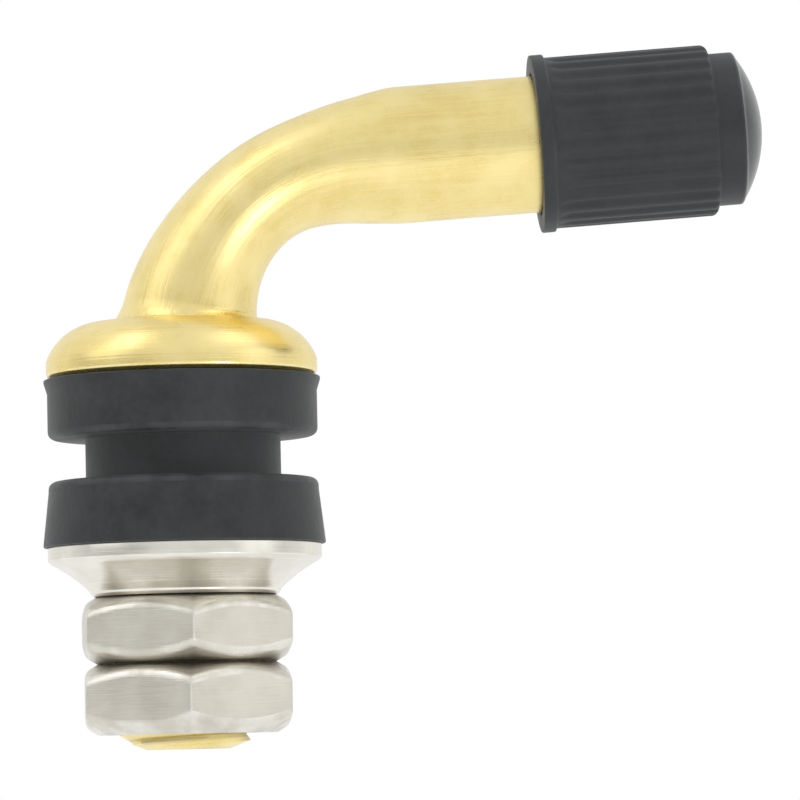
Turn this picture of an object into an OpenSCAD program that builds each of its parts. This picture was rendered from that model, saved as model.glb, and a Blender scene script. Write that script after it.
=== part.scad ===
// Bent clamp-in tyre valve: brass stem, rubber grommet, washer, two nuts, cap and valve core.
// Millimetres. The origin is on the shank's axis, in the middle of the rim groove.
// +Z runs up the shank to the flange, and +X runs along the arm.

/* [Rim seat] */
// Hole in the rim that the grommet fills
rim_hole_d = 11.5; // [9.5:0.1:14]
// Width of the groove that takes the rim sheet
rim_gap = 2.5; // [1.5:0.1:5]

/* [Grommet] */
// Diameter of both collars
collar_d = 15.9; // [14:0.1:20]
// Height of the collar under the flange
upper_collar_h = 3.65; // [2:0.05:6]
// Height of the collar on the washer
lower_collar_h = 3.85; // [2:0.05:6]
// How far the lip at the flange reaches past its collar
upper_flare = 0.2; // [0.05:0.05:0.6]
// Height of that lip
upper_flare_h = 0.8; // [0.4:0.1:1.6]
// How far the lip at the washer reaches past its collar
lower_flare = 0.35; // [0.05:0.05:0.6]
// Height of that lip
lower_flare_h = 3.2; // [0.4:0.1:3.4]
// Thickness of the lips' edges
lip_edge = 0.15; // [0.1:0.05:0.3]
// Rounding of the collar edges at the groove
collar_round = 0.45; // [0.1:0.05:0.8]
// Gap between the grommet and the shank
grommet_gap = 0.1; // [0.05:0.05:0.3]

/* [Stem] */
// Shank diameter over its thread
shank_d = 8; // [6:0.1:9]
// How far the shank's end stands out of the lock nut
shank_past = 0.9; // [0.6:0.1:3]
// Diameter of the shank's end face
shank_end_d = 4.9; // [4.4:0.1:6]
// Height of the coned end of the shank
shank_cone_h = 0.6; // [0.3:0.1:2]
// How far the flange reaches past the collars
flange_past = 0.05; // [0:0.05:0.5]
// Height of the flange's upright side
flange_side_h = 0.9; // [0.4:0.1:2]
// Height of the flange's shoulder
flange_dome_h = 2.2; // [1:0.1:3]
// Diameter of the flange's top
flange_top_d = 11.2; // [10:0.1:12.5]
// Radius of the shoulder's curve
flange_round = 3.4; // [2.6:0.1:6]
// Bevel under the flange
flange_bevel = 0.2; // [0.1:0.05:0.4]
// Air passage through the stem
bore_d = 3.9; // [3:0.1:4.2]
// Air passage through the bend, where the tube is squeezed
bend_bore_d = 3; // [2.4:0.1:3]

/* [Bend and arm] */
// Tube diameter
tube_d = 8.1; // [7.9:0.1:9]
// Radius of the bend at the tube's axis
bend_r = 10.9; // [10:0.05:14]
// How far the tube's foot sits off the shank's axis
foot_x = 0.4; // [0:0.05:0.5]
// Angle of the arm above the level
arm_rise = 3.6; // [0:0.1:30]
// Height of the arm's axis over the groove, at the shank
arm_z = 16.95; // [16:0.05:24]
// Length of the arm from the shank's axis to its mouth
arm_l = 31.5; // [30:0.1:50]
// How much narrower the bend's middle is
bend_pinch = 1.85; // [0:0.05:2.2]
// How much the bend's middle bulges sideways
bend_bulge = 0.2; // [0:0.05:0.6]
// Angle along the bend where the squeeze starts
pinch_start = 6; // [0:1:30]
// Length of the arm over which the squeeze fades out
pinch_past = 2.5; // [1:0.1:4]
// How far the bend's last half lies inside its circle
bend_ease = 0.2; // [0:0.02:0.3]
// Fillet where the tube leaves the flange
root_flare = 0.5; // [0:0.05:0.8]
// Height of that fillet
root_h = 0.9; // [0.5:0.1:1.5]
// Mouth diameter over its thread
mouth_d = 7.75; // [7.2:0.05:7.8]
// Length of the mouth's thread
mouth_l = 9.4; // [6:0.1:12]
// Bevels of the mouth
mouth_bevel = 0.4; // [0.2:0.05:0.6]

/* [Washer and nuts] */
// How far the washer reaches past the collars
washer_past = 0.1; // [0:0.05:0.5]
// Thickness of the washer's rim
washer_rim_h = 1; // [0.4:0.05:2]
// Bevel of the rim's lower edge
washer_bevel = 0.2; // [0.1:0.05:0.4]
// Height of the washer's cone
washer_cone_h = 1.65; // [0.5:0.05:2]
// Radius of the cone's hollow curve
washer_hollow_r = 9; // [2.5:0.1:12]
// Diameter of the washer's hub
washer_hub_d = 11.2; // [10:0.1:13]
// Height of the washer's hub
washer_hub_h = 0.3; // [0.3:0.05:2]
// Size of the bevel around the hub's foot
washer_hub_bevel = 0.2; // [0.05:0.05:0.25]
// Gap between the washer and the shank
washer_gap = 0.15; // [0.1:0.05:0.4]
// Width of both nuts across their flats
nut_af = 12; // [11:0.5:14]
// Height of the clamping nut
nut_h = 3.95; // [3:0.05:6]
// Height of the lock nut
lock_nut_h = 4.15; // [3:0.05:6]
// Turn of the clamping nut about the shank
nut_turn = 4; // [0:0.1:60]
// Turn of the lock nut about the shank
lock_nut_turn = 2.2; // [0:0.1:60]
// Diameter of the nuts' flat faces
nut_face_d = 10.5; // [9.5:0.1:11.8]
// Angle of the nuts' corner bevels
nut_bevel_deg = 30; // [15:1:40]
// Countersink of the nuts' holes
nut_sink = 0.4; // [0.2:0.05:0.7]
// Gap between a thread and the hole around it
thread_gap = 0.05; // [0.04:0.01:0.1]

/* [Cap] */
// Cap diameter over its ribs
cap_d = 10.15; // [9.8:0.05:12]
// Length of the ribbed body
cap_body_l = 10.5; // [9:0.05:13]
// Length of the stem's end that the cap covers
cap_cover = 10.25; // [8:0.05:12]
// How far the lip at the cap's mouth stands out
cap_lip = 0.2; // [0:0.05:0.4]
// Length of that lip
cap_lip_l = 0.8; // [0.4:0.1:1.5]
// Number of ribs
cap_ribs = 30; // [12:1:40]
// Radius of the grooves between the ribs
rib_groove_r = 0.4; // [0.3:0.05:0.6]
// Depth of those grooves
rib_groove_depth = 0.15; // [0.05:0.05:0.3]
// Plain length between the lip and the ribs
rib_start = 0.25; // [0.1:0.05:0.6]
// Diameter of the collar behind the dome
cap_collar_d = 9.05; // [8.2:0.05:9.6]
// Length of that collar
cap_collar_l = 1.6; // [0.6:0.05:3]
// Radius of the dome
dome_r = 7.5; // [5:0.1:10]
// Rounding of the cap's shoulder
cap_round = 0.35; // [0.1:0.05:0.5]
// Rounding of the dome's edge
dome_round = 0.2; // [0.1:0.05:0.4]
// Gap between the arm and the cap's mouth
cap_mouth_gap = 0.2; // [0.1:0.05:0.3]
// Gap between the step in the cap's bore and the step at the thread
cap_step_gap = 0.3; // [0.2:0.05:1]
// Thickness of the seal in the cap
seal_t = 1; // [0.6:0.1:1.5]
// Hole in that seal
seal_hole_d = 5.5; // [5.3:0.1:6]
// Depth of the pocket behind the seal
pocket_h = 0.9; // [0.7:0.1:1.2]

/* [Valve core] */
// Diameter of the core's thread
core_thread_d = 5.25; // [5:0.05:5.3]
// Depth of the pin's tip inside the mouth
pin_recess = 0.4; // [0.2:0.1:0.9]
// Depth of the swivel's top inside the mouth
swivel_recess = 1.5; // [1.3:0.1:2]
// Height of the swivel's tang
tang_h = 2; // [1:0.1:2.5]
// Width of the tang
tang_d = 4.8; // [4:0.1:4.9]
// Thickness of the tang
tang_t = 2.9; // [2.4:0.1:3.4]
// Height of the swivel's threaded part
swivel_thread_h = 4.2; // [4:0.1:5]
// Height of the swivel's crimped lip
crimp_h = 0.4; // [0.3:0.05:0.6]
// Gap around the barrel in the swivel
swivel_gap = 0.1; // [0.05:0.01:0.12]
// Play of the barrel along the swivel
swivel_play = 0.2; // [0.1:0.05:0.3]
// Hole through the swivel
swivel_hole_d = 1.9; // [1.8:0.05:2]
// Bead that holds the barrel in the swivel
bead_d = 3.44; // [3.3:0.02:3.5]
// Height of that bead
bead_h = 1.2; // [0.8:0.1:1.4]
// Barrel diameter under the gasket
neck_d = 3.04; // [2.9:0.02:3.1]
// Diameter of the barrel's collar
barrel_collar_d = 4.4; // [4:0.1:4.6]
// Height of that collar
barrel_collar_h = 0.5; // [0.3:0.1:0.8]
// Height of the gasket
gasket_h = 2; // [1.5:0.1:2.5]
// Gasket diameter at its wide end
gasket_d = 4.7; // [4.4:0.05:4.9]
// Gasket diameter at its narrow end
gasket_end_d = 4.1; // [3.9:0.05:4.3]
// Length of the tapers at both ends of the gasket's seat
seat_lead = 0.3; // [0.2:0.05:0.5]
// Barrel diameter below the gasket
barrel_d = 3.5; // [3.3:0.1:3.6]
// Barrel length below the gasket
barrel_l = 4.85; // [4:0.05:6]
// Diameter of the barrel's nozzle
nozzle_d = 2.6; // [2.4:0.1:2.7]
// Length of the nozzle
nozzle_l = 0.7; // [0.5:0.1:1]
// Chamber in the barrel
barrel_bore_d = 2.4; // [2.3:0.05:2.5]
// Thickness of the wall over the chamber
barrel_wall = 1.1; // [0.8:0.1:1.2]
// Thickness of the chamber's floor over the nozzle
barrel_floor = 0.55; // [0.4:0.05:0.8]
// Hole around the pin in both of them
pin_hole_d = 1.6; // [1.5:0.05:1.7]
// Pin diameter
pin_d = 1.1; // [0.9:0.05:1.2]
// Diameter of the pin's head
pin_head_d = 1.7; // [1.5:0.05:1.75]
// Height of the pin's head
pin_head_h = 0.7; // [0.4:0.1:1]
// Diameter of the spring's stop on the pin
stop_d = 2.1; // [1.9:0.05:2.2]
// Height of that stop
stop_h = 0.4; // [0.3:0.05:0.6]
// Depth of that stop below the chamber's top
stop_drop = 0.6; // [0.2:0.1:1]
// How far the pin's end stands out of the cup
pin_past = 0.3; // [0.2:0.05:0.6]
// Cup diameter
cup_d = 3.3; // [3.1:0.05:3.4]
// Height of the cup
cup_h = 1.7; // [1.5:0.05:2]
// Thickness of the cup's wall and floor
cup_t = 0.22; // [0.15:0.01:0.26]
// Height of the seal in the cup
cup_seal_h = 0.9; // [0.6:0.1:1.1]
// Wire diameter of the spring
wire_d = 0.26; // [0.2:0.02:0.3]
// Diameter of the spring at the wire's middle
spring_d = 1.72; // [1.6:0.02:1.8]
// Turns of the spring
spring_turns = 7; // [4:1:9]
// Gap between pieces of the core
core_gap = 0.05; // [0.03:0.01:0.08]

/* [Hidden] */
$fn = 72;
over = 1;
bury = 0.3;
brass = [0.86, 0.75, 0.43];
nickel = [0.78, 0.77, 0.73];
rubber = [0.13, 0.14, 0.15];
plastic = [0.16, 0.17, 0.18];
steel = [0.6, 0.61, 0.63];

// the flange and the washer follow the collars between them
flange_d = collar_d + 2 * flange_past;
washer_d = collar_d + 2 * washer_past;

// heights on the shank
grommet_top = rim_gap / 2 + upper_collar_h;
grommet_foot = -rim_gap / 2 - lower_collar_h;
flange_h = flange_side_h + flange_dome_h;
washer_foot = grommet_foot - washer_rim_h - washer_cone_h - washer_hub_h;
nut_foot = washer_foot - nut_h;
lock_foot = nut_foot - lock_nut_h;
shank_end = lock_foot - shank_past;

// the bend, between the shank's axis and the arm's
bend_deg = 90 - arm_rise;
bend_run = bend_r * tan(bend_deg / 2);
bend_x = foot_x + bend_r;
bend_z = arm_z + foot_x * tan(arm_rise) - bend_run;
bend_end = foot_x / cos(arm_rise) + bend_run;
sweep_deg = bend_deg + pinch_past / bend_r * 180 / PI;
sweep_end = bend_end + past(sweep_deg);
lead_l = max(0, bend_z - grommet_top - flange_side_h);
lead_deg = lead_l / bend_r * 180 / PI;
bend_rings = 32;
tube_sides = 40;
tube_inset = 0.05;
squeeze_power = 1.5;
wire_sides = 6;
turn_steps = 14;

// depths of the core inside the mouth
tang_foot = swivel_recess + tang_h;
swivel_foot = tang_foot + swivel_thread_h;
crimp_hole_d = neck_d + 2 * swivel_gap;
bead_hole_d = bead_d + 2 * swivel_gap;
bead_foot = swivel_foot - crimp_h - swivel_play;
bead_top = bead_foot - bead_h;
collar_top = swivel_foot + swivel_play;
gasket_top = collar_top + barrel_collar_h;
gasket_foot = gasket_top + gasket_h;
barrel_foot = gasket_foot + barrel_l;
nozzle_foot = barrel_foot + nozzle_l;
chamber_top = bead_top + barrel_wall;
chamber_foot = barrel_foot - barrel_floor;
stop_top = chamber_top + stop_drop;
stop_foot = stop_top + stop_h;
cup_foot = nozzle_foot + cup_seal_h + cup_t;
pin_foot = cup_foot + pin_past;
core_hole_d = core_thread_d + 2 * thread_gap;

module on_arm() {
    translate([0, 0, arm_z]) rotate([0, 90 - arm_rise, 0]) translate([0, 0, arm_l]) children();
}

// a ring or disc on the core's axis, between two depths
module core_ring(outer_d, inner_d, top, foot) {
    translate([inner_d / 2, -foot]) square([(outer_d - inner_d) / 2, foot - top]);
}

function clamp01(v) = min(1, max(0, v));
function along(a) = clamp01((a - pinch_start) / (sweep_deg - pinch_start));
function squeeze(a) = pow(1 - pow(2 * along(a) - 1, 2), squeeze_power);
function axis_z(a) = bend_z + before(a) + bend_r * sin(max(0, a));
function root(a) = pow(1 - clamp01((axis_z(a) - grommet_top - flange_h) / root_h), 2);
function half_in(a) = tube_d / 2 - tube_inset - bend_pinch / 2 * squeeze(a) + root_flare * root(a);
function half_out(a) = tube_d / 2 - tube_inset + bend_bulge / 2 * squeeze(a) + root_flare * root(a);
function reach_in(a, q) = bend_r + half_in(a) * cos(q) - bend_ease * pow(sin(360 * max(0.5, along(a))), 2);
function before(a) = min(0, a) * bend_r * PI / 180;
function past(a) = max(0, a - bend_deg) * bend_r * PI / 180;
function ring_point(a, q) = let (t = max(0, min(a, bend_deg))) [
    bend_x - reach_in(a, q) * cos(t) + past(a) * cos(arm_rise),
    half_out(a) * sin(q),
    bend_z + before(a) + reach_in(a, q) * sin(t) + past(a) * sin(arm_rise)
];

module bend() {
    points = [for (k = [0:bend_rings]) for (s = [0:tube_sides - 1])
        ring_point((sweep_deg + lead_deg) * k / bend_rings - lead_deg, 360 * s / tube_sides)];
    first = [[for (s = [tube_sides - 1:-1:0]) s]];
    last = [[for (s = [0:tube_sides - 1]) bend_rings * tube_sides + s]];
    lower = [for (k = [0:bend_rings - 1]) for (s = [0:tube_sides - 1])
        [k * tube_sides + s, k * tube_sides + (s + 1) % tube_sides, (k + 1) * tube_sides + s]];
    upper = [for (k = [0:bend_rings - 1]) for (s = [0:tube_sides - 1])
        [(k + 1) * tube_sides + s, k * tube_sides + (s + 1) % tube_sides,
            (k + 1) * tube_sides + (s + 1) % tube_sides]];
    polyhedron(points, concat(first, last, lower, upper));
}

module shank_and_flange() {
    side_r = flange_d / 2;
    top_r = flange_top_d / 2;
    run = side_r - top_r;
    chord = sqrt(run * run + flange_dome_h * flange_dome_h);
    reach = sqrt(flange_round * flange_round - chord * chord / 4) / chord;
    rotate_extrude() {
        polygon([
            [0, shank_end],
            [shank_end_d / 2, shank_end],
            [shank_d / 2, shank_end + shank_cone_h],
            [shank_d / 2, grommet_top],
            [side_r - flange_bevel, grommet_top],
            [side_r, grommet_top + flange_bevel],
            [side_r, grommet_top + flange_side_h],
            [top_r, grommet_top + flange_h],
            [0, grommet_top + flange_h]
        ]);
        translate([0, grommet_top + flange_side_h]) intersection() {
            translate([top_r + run / 2 - reach * flange_dome_h, flange_dome_h / 2 - reach * run])
                circle(flange_round);
            translate([top_r, 0]) square([run, flange_dome_h]);
        }
    }
}

module arm_end() {
    rotate_extrude() polygon([
        [0, sweep_end - arm_l - bury],
        [tube_d / 2, sweep_end - arm_l - bury],
        [tube_d / 2, -mouth_l - (tube_d - mouth_d) / 2],
        [mouth_d / 2, -mouth_l],
        [mouth_d / 2, -mouth_bevel],
        [mouth_d / 2 - mouth_bevel, 0],
        [0, 0]
    ]);
}

module core_chamber() {
    rotate_extrude() polygon([
        [0, bend_end - arm_l - 2 * bury],
        [bore_d / 2, bend_end - arm_l - 2 * bury],
        [bore_d / 2, -gasket_foot - seat_lead],
        [gasket_end_d / 2 + core_gap, -gasket_foot],
        [gasket_d / 2 + core_gap, -gasket_top],
        [core_hole_d / 2, -gasket_top + seat_lead],
        [core_hole_d / 2, -mouth_bevel],
        [core_hole_d / 2 + mouth_bevel, 0],
        [core_hole_d / 2 + mouth_bevel, over],
        [0, over]
    ]);
}

module valve_stem() {
    color(brass) difference() {
        union() {
            shank_and_flange();
            bend();
            on_arm() arm_end();
        }
        translate([0, 0, shank_end - over]) cylinder(d = bore_d, h = bend_z - shank_end + over + 2 * bury);
        translate([bend_x, 0, bend_z]) rotate([90, 0, 0]) rotate([0, 0, 180 - bend_deg])
            rotate_extrude(angle = bend_deg) translate([bend_r, 0]) circle(d = bend_bore_d);
        on_arm() core_chamber();
    }
}

module grommet() {
    color(rubber) rotate_extrude() difference() {
        union() {
            translate([0, -rim_gap / 2 - over]) square([rim_hole_d / 2, rim_gap + 2 * over]);
            collar_profile(upper_collar_h, upper_flare, upper_flare_h);
            mirror([0, 1]) collar_profile(lower_collar_h, lower_flare, lower_flare_h);
        }
        translate([0, grommet_foot - over])
            square([shank_d / 2 + grommet_gap, grommet_top - grommet_foot + 2 * over]);
    }
}

// half section of one collar, from the groove outwards
module collar_profile(h, flare, flare_h) {
    r = collar_d / 2;
    translate([0, rim_gap / 2]) {
        square([r - collar_round, h]);
        translate([r - collar_round, collar_round]) circle(collar_round);
        polygon([
            [0, collar_round],
            [r, collar_round],
            [r, h - flare_h],
            [r + flare, h - lip_edge],
            [r + flare, h],
            [0, h]
        ]);
    }
}

module washer() {
    r = washer_d / 2;
    hub_r = washer_hub_d / 2;
    cone_top = grommet_foot - washer_rim_h;
    run = r - washer_bevel - hub_r;
    chord = sqrt(run * run + washer_cone_h * washer_cone_h);
    reach = sqrt(washer_hollow_r * washer_hollow_r - chord * chord / 4) / chord;
    color(nickel) rotate_extrude() difference() {
        polygon([
            [shank_d / 2 + washer_gap, grommet_foot],
            [r, grommet_foot],
            [r, cone_top + washer_bevel],
            [r - washer_bevel, cone_top],
            [hub_r, cone_top - washer_cone_h],
            [hub_r, washer_foot + washer_hub_bevel],
            [hub_r - washer_hub_bevel, washer_foot],
            [shank_d / 2 + washer_gap, washer_foot]
        ]);
        translate([hub_r + run / 2 + reach * washer_cone_h, cone_top - washer_cone_h / 2 - reach * run])
            circle(washer_hollow_r);
    }
}

// a hexagon nut standing on its lower face
module hex_nut(h, turn) {
    corner = nut_af / sqrt(3);
    face_r = nut_face_d / 2;
    wide = corner + over;
    drop = (wide - face_r) * tan(nut_bevel_deg);
    hole_r = shank_d / 2 + thread_gap;
    difference() {
        intersection() {
            rotate([0, 0, turn - 90]) cylinder(r = corner, h = h, $fn = 6);
            rotate_extrude() polygon([
                [0, 0],
                [face_r, 0],
                [wide, drop],
                [wide, h - drop],
                [face_r, h],
                [0, h]
            ]);
        }
        rotate_extrude() polygon([
            [0, -over],
            [hole_r + nut_sink, -over],
            [hole_r + nut_sink, 0],
            [hole_r, nut_sink],
            [hole_r, h - nut_sink],
            [hole_r + nut_sink, h],
            [hole_r + nut_sink, h + over],
            [0, h + over]
        ]);
    }
}

module nut() {
    color(nickel) translate([0, 0, nut_foot]) hex_nut(nut_h, nut_turn);
}

module lock_nut() {
    color(nickel) translate([0, 0, lock_foot]) hex_nut(lock_nut_h, lock_nut_turn);
}

module cap_outline() {
    r = cap_d / 2;
    collar_r = cap_collar_d / 2;
    shoulder = cap_body_l - cap_cover;
    dome_base = shoulder + cap_collar_l;
    dome_edge_r = collar_r - dome_round;
    dome_h = dome_r - sqrt(dome_r * dome_r - dome_edge_r * dome_edge_r);
    translate([0, -cap_cover]) square([r + cap_lip, cap_lip_l]);
    translate([0, -cap_cover]) square([r, cap_body_l - cap_round]);
    translate([0, shoulder - over]) square([r - cap_round, over]);
    translate([r - cap_round, shoulder - cap_round]) circle(cap_round);
    translate([0, shoulder - over]) square([collar_r, cap_collar_l + over - dome_round]);
    translate([0, shoulder]) square([dome_edge_r, cap_collar_l]);
    translate([dome_edge_r, dome_base - dome_round]) circle(dome_round);
    intersection() {
        translate([0, dome_base + dome_h - dome_r]) circle(dome_r);
        translate([0, shoulder]) square([dome_edge_r, cap_collar_l + dome_h]);
    }
}

module cap() {
    r = cap_d / 2;
    bore_r = tube_d / 2 + cap_mouth_gap;
    thread_r = mouth_d / 2 + thread_gap;
    groove_x = r + rib_groove_r - rib_groove_depth;
    color(plastic) on_arm() difference() {
        rotate_extrude() difference() {
            cap_outline();
            polygon([
                [0, -cap_cover - over],
                [bore_r, -cap_cover - over],
                [bore_r, cap_step_gap - mouth_l],
                [thread_r, cap_step_gap - mouth_l + bore_r - thread_r],
                [thread_r, seal_t],
                [seal_hole_d / 2, seal_t],
                [seal_hole_d / 2, seal_t + pocket_h],
                [0, seal_t + pocket_h]
            ]);
        }
        for (k = [0:cap_ribs - 1])
            rotate([0, 0, 360 * k / cap_ribs]) translate([groove_x, 0, cap_lip_l + rib_start - cap_cover])
                cylinder(r = rib_groove_r, h = cap_body_l);
    }
}

module cap_seal() {
    color(rubber) on_arm() rotate_extrude()
        translate([seal_hole_d / 2, 0]) square([(mouth_d - seal_hole_d) / 2, seal_t]);
}

module core_swivel() {
    color(brass) on_arm() difference() {
        union() {
            translate([0, 0, -swivel_foot]) cylinder(d = core_thread_d, h = swivel_thread_h);
            intersection() {
                translate([0, 0, -tang_foot]) cylinder(d = tang_d, h = tang_h);
                translate([-tang_d, -tang_t / 2, -tang_foot]) cube([2 * tang_d, tang_t, tang_h]);
            }
        }
        rotate_extrude() {
            core_ring(swivel_hole_d, 0, 0, swivel_foot + over);
            core_ring(bead_hole_d, 0, bead_top - swivel_play, swivel_foot - crimp_h);
            core_ring(crimp_hole_d, 0, bead_foot, swivel_foot + over);
        }
    }
}

module core_barrel() {
    color(brass) on_arm() rotate_extrude() difference() {
        union() {
            core_ring(bead_d, 0, bead_top, bead_foot);
            core_ring(neck_d, 0, bead_top, barrel_foot);
            core_ring(barrel_collar_d, 0, collar_top, gasket_top);
            core_ring(barrel_d, 0, gasket_foot, barrel_foot);
            core_ring(nozzle_d, 0, gasket_foot, nozzle_foot);
        }
        core_ring(pin_hole_d, 0, 0, nozzle_foot + over);
        core_ring(barrel_bore_d, 0, chamber_top, chamber_foot);
    }
}

module barrel_gasket() {
    color(steel) on_arm() rotate_extrude() polygon([
        [neck_d / 2 + core_gap, -gasket_top],
        [gasket_d / 2, -gasket_top],
        [gasket_end_d / 2, -gasket_foot],
        [neck_d / 2 + core_gap, -gasket_foot]
    ]);
}

module core_pin() {
    color(brass) on_arm() rotate_extrude() {
        core_ring(pin_d, 0, pin_recess, pin_foot);
        core_ring(pin_head_d, 0, pin_recess, pin_recess + pin_head_h);
        core_ring(stop_d, 0, stop_top, stop_foot);
    }
}

module core_cup() {
    color(brass) on_arm() rotate_extrude() {
        core_ring(cup_d, pin_d + 2 * core_gap, cup_foot - cup_t, cup_foot);
        core_ring(cup_d, cup_d - 2 * cup_t, cup_foot - cup_h, cup_foot);
    }
}

module cup_seal() {
    seal_d = cup_d - 2 * cup_t - 2 * core_gap;
    color(rubber) on_arm() rotate_extrude()
        core_ring(seal_d, pin_d + 2 * core_gap, nozzle_foot, nozzle_foot + cup_seal_h);
}

module core_spring() {
    steps = turn_steps * spring_turns;
    top = stop_foot + core_gap + wire_d / 2;
    foot = chamber_foot - core_gap - wire_d / 2;
    points = [for (k = [0:steps]) for (s = [0:wire_sides - 1])
        let (
            a = 360 * spring_turns * k / steps,
            q = 360 * s / wire_sides,
            r = (spring_d + wire_d * cos(q)) / 2
        )
            [r * cos(a), r * sin(a), -top - (foot - top) * k / steps + wire_d / 2 * sin(q)]];
    first = [[for (s = [wire_sides - 1:-1:0]) s]];
    last = [[for (s = [0:wire_sides - 1]) steps * wire_sides + s]];
    lower = [for (k = [0:steps - 1]) for (s = [0:wire_sides - 1])
        [k * wire_sides + s, k * wire_sides + (s + 1) % wire_sides, (k + 1) * wire_sides + s]];
    upper = [for (k = [0:steps - 1]) for (s = [0:wire_sides - 1])
        [(k + 1) * wire_sides + s, k * wire_sides + (s + 1) % wire_sides,
            (k + 1) * wire_sides + (s + 1) % wire_sides]];
    color(steel) on_arm() polyhedron(points, concat(first, last, lower, upper));
}

valve_stem();
grommet();
washer();
nut();
lock_nut();
cap();
cap_seal();
core_swivel();
core_barrel();
barrel_gasket();
core_pin();
core_spring();
core_cup();
cup_seal();
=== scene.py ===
"""Bent clamp-in tyre valve in a plain studio: brass elbow, grommet, washer, nuts, cap and valve core."""
import math

import bmesh
import bpy
from mathutils import Matrix, Vector


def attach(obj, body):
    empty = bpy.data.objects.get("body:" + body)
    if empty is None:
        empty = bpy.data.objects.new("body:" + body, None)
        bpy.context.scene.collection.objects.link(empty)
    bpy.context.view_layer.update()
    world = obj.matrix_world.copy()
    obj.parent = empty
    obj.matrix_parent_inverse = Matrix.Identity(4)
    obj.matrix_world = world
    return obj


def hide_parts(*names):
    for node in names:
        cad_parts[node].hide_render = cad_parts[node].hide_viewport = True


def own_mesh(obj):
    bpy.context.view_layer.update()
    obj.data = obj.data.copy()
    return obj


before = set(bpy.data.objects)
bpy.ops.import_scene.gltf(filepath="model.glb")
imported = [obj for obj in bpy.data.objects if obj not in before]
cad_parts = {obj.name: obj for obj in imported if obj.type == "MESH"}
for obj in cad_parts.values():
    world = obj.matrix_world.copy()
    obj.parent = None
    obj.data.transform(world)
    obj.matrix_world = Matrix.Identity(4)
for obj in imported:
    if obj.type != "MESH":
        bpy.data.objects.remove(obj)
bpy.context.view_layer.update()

# Sizes in millimetres. Heights run up the shank, and depths run out along the arm from the stem's mouth
MM = 0.001
SIDES = 96
CAP_SIDES = 240
CORE_SIDES = 48

# Bend and arm
RISE = math.radians(3.6)
BEND = math.pi / 2 - RISE
BEND_R = 10.9
FOOT_X = 0.4
ARM_Z = 16.95
ARM_L = 31.5
BEND_X = FOOT_X + BEND_R
BEND_Z = ARM_Z + FOOT_X * math.tan(RISE) - BEND_R * math.tan(BEND / 2)
TUBE_R = 4.05
TUBE_END = -9.55
ARM_RINGS = (-16, -14, -12, -10.5, TUBE_END)
PINCH = 1.85
BULGE = 0.2
PINCH_START = math.radians(6)
PINCH_PAST = 2.5
SWEEP = BEND + PINCH_PAST / BEND_R
EASE = 0.2
ROOT_FLARE = 0.5
ROOT_H = 0.9
STEM_EDGE = 0.09
# Past this X the tube is straight, and its draw lines are counted from this far along the arm
BEND_CLEAR_X = 20
ARM_GRAIN_FROM = 10.7

# Flange. Its seam with the grommet is slightly lower than in the solids
FLANGE_FOOT = 4.73
FLANGE_TOP = 8.0
FLANGE_R = 8.0
FLANGE_BEVEL = 0.3
# Centre, radius and angles of the domed edge
FLANGE_ARC = (4.783, 4.70, 3.4, 18.9, 76.1)
# The tube's first rings tip from level to square with the bend over this height
LEAN_H = 1.5
LEAN = math.asin((FLANGE_TOP + LEAN_H - BEND_Z) / BEND_R)

# Shank and its thread
SHANK_R = 4.0
SHANK_ROOT_R = 3.42
SHANK_CREST = 0.125
SHANK_PITCH = 1.0
SHANK_PHASE = 0.35
SHANK_THREAD_TOP = -5.2
SHANK_RUN_OUT = 0.8
SHANK_END = -17.05
SHANK_FACE_R = 2.45
SHANK_BEVEL_H = 0.6
# Strength of the painted shade at the root of the shank's thread
GROOVE_SHADE = 0.6
BORE_R = 1.95
BORE_LIP = 0.1
BEND_BORE_R = 1.5

# Mouth: the thread for the cap outside, and the thread and seat for the core inside
MOUTH_R = 3.875
MOUTH_ROOT_R = 3.42
MOUTH_CREST = 0.1
MOUTH_FACE_R = 3.40
MOUTH_HOLE_R = 3.075
MOUTH_SHOULDER = -9.4
MOUTH_THREAD_FOOT = -9.2
MOUTH_RUN_OUT = 0.8
MOUTH_MARKS = -9.5
CAP_PITCH = 0.79375
CORE_PITCH = 0.70556
CORE_HOLE_R = 2.675
CORE_HOLE_CREST_R = 2.43
CORE_HOLE_CREST = 0.343
CORE_HOLE_FOOT = -8.1
CORE_HOLE_RUN_OUT = 0.6
SEAT_R, SEAT_END_R = 2.40, 2.10
BORE_TOP = -10.7
ARM_BORE_FOOT = -21.2

# Grommet
GROMMET_FOOT = -5.1
GROMMET_HOLE_R = 4.1
GROOVE_R = 5.75
GROOVE_HALF = 1.25
COLLAR_R = 7.95
COLLAR_ROUND = 0.45
RUBBER_EDGE = 0.06
LIP_EDGE = 0.15
UPPER_LIP_R, UPPER_LIP_H = 8.15, 0.8
LOWER_LIP_R, LOWER_LIP_H = 8.3, 3.2

# Washer
WASHER_FOOT = -8.05
WASHER_HOLE_R = 4.15
WASHER_R = 8.05
WASHER_RIM_H = 0.8
WASHER_ARC = (11.983, -14.095, 9, 117.3, 135.17)
WASHER_HUB_R = 5.6
WASHER_BEVEL = 0.2

# Nuts. Each flat's lines are shifted from those of the next
PLATE_EDGE = 0.07
FLAT_SHIFT = 7.0
NUT_FOOT = -12.0
LOCK_FOOT = -16.15
NUT_ACROSS = 12.0
NUT_FACE_R = 5.25
NUT_HOLE_R = 4.45
NUT_ROOT_R = 4.05
NUT_CREST_R = 3.5
NUT_CREST = 0.238
NUT_CHAMFER = math.radians(30)
NUT_ROUND = 0.65
NUT_ROUND_STEPS = 6
SIXTH = math.pi / 3

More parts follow.
